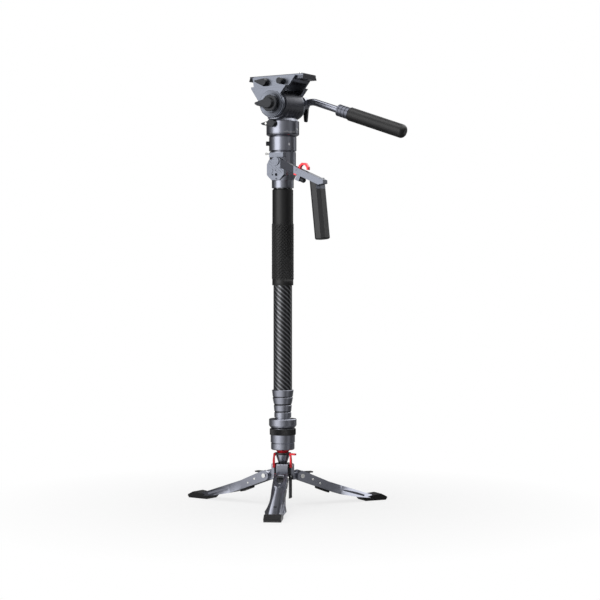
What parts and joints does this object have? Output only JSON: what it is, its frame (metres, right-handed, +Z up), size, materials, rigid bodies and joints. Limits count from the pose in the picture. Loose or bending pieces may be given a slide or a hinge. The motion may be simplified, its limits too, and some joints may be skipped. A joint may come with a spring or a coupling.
{
  "type": "camera monopod",
  "caption": "Camera monopod: twist-lock carbon pole on a ball base with three folding legs, a fold-out side handle and a fluid head with plate, pan bar and clamp knobs.",
  "frame": {"origin": "on the floor, on the pole's own axis", "axes": "+Z up along the pole; +X to the right of the picture; +Y away from its camera"},
  "size_m": [0.3846, 0.3271, 0.7555],
  "materials": {
    "gunmetal_aluminium": "satin anodised, bluish gunmetal",
    "silver_aluminium": "satin anodised, light silver grey",
    "black_aluminium": "satin anodised, black",
    "red_aluminium": "anodised, bright red",
    "stainless_steel": "brushed",
    "carbon_tube": "twill carbon-fibre laminate, clear satin lacquer",
    "black_rubber": "matt, moulded",
    "black_foam": "matt, closed-cell foam",
    "black_nylon": "moulded",
    "acetal": "turned bearing plastic"
  },
  "bodies": {
    "base": {"hub_core": "black_aluminium", "leg_brackets": "silver_aluminium", "leg_bolts": "stainless_steel", "ball_stem": "silver_aluminium", "lock_cone": "red_aluminium"},
    "leg_front": {"leg_front": "gunmetal_aluminium", "foot_front": "black_rubber"},
    "latch_front": {"latch_front": "black_nylon"},
    "leg_right": {"leg_right": "gunmetal_aluminium", "foot_right": "black_rubber"},
    "latch_right": {"latch_right": "black_nylon"},
    "leg_left": {"leg_left": "gunmetal_aluminium", "foot_left": "black_rubber"},
    "latch_left": {"latch_left": "black_nylon"},
    "claw": {"lock_claw": "red_aluminium"},
    "pedal": {"release_pedal": "black_nylon"},
    "liner": {"ball_liner": "acetal"},
    "socket": {"socket_housing": "gunmetal_aluminium", "socket_grip_ring": "black_rubber"},
    "pan_collar": {"pan_collar": "gunmetal_aluminium", "tube_4": "carbon_tube", "guide_bush_4": "acetal"},
    "section_3": {"tube_3": "carbon_tube", "guide_bush_3": "acetal"},
    "section_2": {"tube_2": "carbon_tube", "guide_bush_2": "acetal"},
    "section_1": {"tube_1": "carbon_tube", "ribbed_grip": "black_rubber", "foam_grip": "black_foam", "upper_housing": "gunmetal_aluminium", "side_bracket": "silver_aluminium", "pan_base": "gunmetal_aluminium"},
    "twist_1": {"twist_lock_1": "gunmetal_aluminium"},
    "twist_2": {"twist_lock_2": "gunmetal_aluminium"},
    "twist_3": {"twist_lock_3": "gunmetal_aluminium"},
    "handle": {"handle_arm": "gunmetal_aluminium", "handle_grip": "black_rubber", "pivot_disc": "silver_aluminium", "handle_screws": "stainless_steel"},
    "trigger": {"handle_trigger": "red_aluminium"},
    "hand_knob": {"handle_knob": "black_aluminium"},
    "sleeve": {"quick_sleeve": "gunmetal_aluminium"},
    "button": {"sleeve_button": "black_aluminium"},
    "plunger": {"safety_plunger": "stainless_steel"},
    "pan_lock": {"pan_knob": "black_aluminium"},
    "head": {"head_body": "gunmetal_aluminium"},
    "tilt_lock": {"tilt_knob": "black_aluminium"},
    "cradle": {"tilt_cheeks": "silver_aluminium", "drag_ring": "silver_aluminium", "plate_clamp": "silver_aluminium"},
    "clamp_lock": {"clamp_knob": "black_aluminium"},
    "wheel": {"safety_wheel": "black_aluminium"},
    "bar": {"bar_clamp": "silver_aluminium", "pan_bar": "gunmetal_aluminium"},
    "bar_slider": {"bar_grip": "black_foam"},
    "bar_ring": {"bar_collar": "silver_aluminium"},
    "bar_lock": {"bar_lever": "black_aluminium"},
    "plate": {"camera_plate": "silver_aluminium"},
    "washer": {"screw_washer": "stainless_steel"},
    "screw": {"camera_screw": "stainless_steel"}
  },
  "joints": [
    {"name": "leg_front_fold", "type": "hinge", "parent": "base", "child": "leg_front", "pos_m": [-0.00283, -0.03238, 0.051], "axis": [0.9962, -0.0872, 0], "range_deg": [-108, 0]},
    {"name": "latch_front_pull", "type": "hinge", "parent": "leg_front", "child": "latch_front", "pos_m": [-0.00462, -0.05275, 0.04398], "axis": [0.9962, -0.0872, 0], "range_deg": [0, 8], "stiffness_Nm_per_rad": 0.3},
    {"name": "leg_right_fold", "type": "hinge", "parent": "base", "child": "leg_right", "pos_m": [0.02945, 0.01374, 0.051], "axis": [-0.4226, 0.9063, 0], "range_deg": [-108, 0]},
    {"name": "latch_right_pull", "type": "hinge", "parent": "leg_right", "child": "latch_right", "pos_m": [0.04799, 0.02238, 0.04398], "axis": [-0.4226, 0.9063, 0], "range_deg": [0, 8], "stiffness_Nm_per_rad": 0.3},
    {"name": "leg_left_fold", "type": "hinge", "parent": "base", "child": "leg_left", "pos_m": [-0.02662, 0.01864, 0.051], "axis": [-0.5736, -0.8192, 0], "range_deg": [-108, 0]},
    {"name": "latch_left_pull", "type": "hinge", "parent": "leg_left", "child": "latch_left", "pos_m": [-0.04337, 0.03037, 0.04398], "axis": [-0.5736, -0.8192, 0], "range_deg": [0, 8], "stiffness_Nm_per_rad": 0.3},
    {"name": "claw_press", "type": "slide", "parent": "base", "child": "claw", "axis": [0, 0, 1], "range_m": [-0.004, 0], "stiffness_N_per_m": 500},
    {"name": "pedal_swing", "type": "hinge", "parent": "base", "child": "pedal", "pos_m": [0.01322, -0.01322, 0.0506], "axis": [-0.7071, -0.7071, 0], "range_deg": [0, 40]},
    {"name": "ball_turn", "type": "hinge", "parent": "base", "child": "liner", "pos_m": [0, 0, 0.112], "axis": [0, 0, 1], "continuous": true},
    {"name": "ball_tilt", "type": "hinge", "parent": "liner", "child": "socket", "pos_m": [0, 0, 0.112], "axis": [1, 0, 0], "range_deg": [0, 15]},
    {"name": "base_pan", "type": "hinge", "parent": "socket", "child": "pan_collar", "pos_m": [0, 0, 0.1353], "axis": [0, 0, 1], "continuous": true},
    {"name": "section_3_extend", "type": "slide", "parent": "pan_collar", "child": "section_3", "axis": [0, 0, 1], "range_m": [0, 0.34]},
    {"name": "section_2_extend", "type": "slide", "parent": "section_3", "child": "section_2", "axis": [0, 0, 1], "range_m": [0, 0.34]},
    {"name": "section_1_extend", "type": "slide", "parent": "section_2", "child": "section_1", "axis": [0, 0, 1], "range_m": [0, 0.34]},
    {"name": "twist_1_turn", "type": "hinge", "parent": "section_1", "child": "twist_1", "pos_m": [0, 0, 0.1906], "axis": [0, 0, 1], "range_deg": [0, 90]},
    {"name": "twist_2_turn", "type": "hinge", "parent": "section_2", "child": "twist_2", "pos_m": [0, 0, 0.1776], "axis": [0, 0, 1], "range_deg": [0, 90]},
    {"name": "twist_3_turn", "type": "hinge", "parent": "section_3", "child": "twist_3", "pos_m": [0, 0, 0.165], "axis": [0, 0, 1], "range_deg": [0, 90]},
    {"name": "handle_fold", "type": "hinge", "parent": "section_1", "child": "handle", "pos_m": [-0.00923, -0.02383, 0.60008], "axis": [-0.5299, -0.848, 0], "range_deg": [-15, 30]},
    {"name": "trigger_pull", "type": "hinge", "parent": "handle", "child": "trigger", "pos_m": [0.02715, -0.04462, 0.58351], "axis": [-0.5299, -0.848, 0], "range_deg": [-10, 0], "stiffness_Nm_per_rad": 0.5},
    {"name": "hand_knob_turn", "type": "hinge", "parent": "handle", "child": "hand_knob", "pos_m": [0.03183, -0.04754, 0.56786], "axis": [0.7777, -0.486, -0.3987], "continuous": true},
    {"name": "sleeve_turn", "type": "hinge", "parent": "section_1", "child": "sleeve", "pos_m": [0, 0, 0.61947], "axis": [0, 0, 1], "range_deg": [0, 35]},
    {"name": "button_press", "type": "slide", "parent": "sleeve", "child": "button", "axis": [1, 0, 0], "range_m": [0, 0.002], "stiffness_N_per_m": 400},
    {"name": "plunger_pull", "type": "slide", "parent": "section_1", "child": "plunger", "axis": [-1, 0, 0], "range_m": [0, 0.003], "stiffness_N_per_m": 300},
    {"name": "pan_lock_turn", "type": "hinge", "parent": "section_1", "child": "pan_lock", "pos_m": [0, 0, 0.66607], "axis": [-0.5299, -0.848, 0], "range_deg": [-15, 60]},
    {"name": "head_pan", "type": "hinge", "parent": "section_1", "child": "head", "pos_m": [0, 0, 0.67158], "axis": [0, 0, 1], "continuous": true},
    {"name": "tilt_lock_turn", "type": "hinge", "parent": "head", "child": "tilt_lock", "pos_m": [0, 0, 0.70008], "axis": [-0.5299, -0.848, 0], "range_deg": [-60, 45]},
    {"name": "head_tilt", "type": "hinge", "parent": "head", "child": "cradle", "pos_m": [0, 0, 0.70008], "axis": [0.5299, 0.848, 0], "range_deg": [-60, 75]},
    {"name": "clamp_lock_turn", "type": "hinge", "parent": "cradle", "child": "clamp_lock", "pos_m": [-0.02968, -0.01541, 0.73808], "axis": [-0.5299, -0.848, 0], "range_deg": [-60, 0]},
    {"name": "wheel_turn", "type": "hinge", "parent": "cradle", "child": "wheel", "pos_m": [0, -0.03396, 0.73808], "axis": [-0.5299, -0.848, 0], "continuous": true},
    {"name": "bar_swing", "type": "hinge", "parent": "cradle", "child": "bar", "pos_m": [0.03572, 0.03074, 0.70608], "axis": [-0.5299, -0.848, 0], "range_deg": [-60, 75]},
    {"name": "bar_extend", "type": "slide", "parent": "bar", "child": "bar_slider", "axis": [0.8018, -0.501, -0.3256], "range_m": [0, 0.06]},
    {"name": "bar_ring_turn", "type": "hinge", "parent": "bar_slider", "child": "bar_ring", "pos_m": [0.05438, 0.01909, 0.70827], "axis": [0.8018, -0.501, -0.3256], "range_deg": [0, 120]},
    {"name": "bar_lock_turn", "type": "hinge", "parent": "bar", "child": "bar_lock", "pos_m": [0.03572, 0.03074, 0.70608], "axis": [-0.5299, -0.848, 0], "range_deg": [-60, 60]},
    {"name": "plate_slide", "type": "slide", "parent": "cradle", "child": "plate", "axis": [0.848, -0.5299, 0], "range_m": [-0.03, 0.03]},
    {"name": "washer_slide", "type": "slide", "parent": "plate", "child": "washer", "axis": [0.848, -0.5299, 0], "range_m": [-0.058, 0.005]},
    {"name": "screw_turn", "type": "hinge", "parent": "washer", "child": "screw", "pos_m": [0.03223, -0.02014, 0.74187], "axis": [0, 0, 1], "continuous": true}
  ]
}
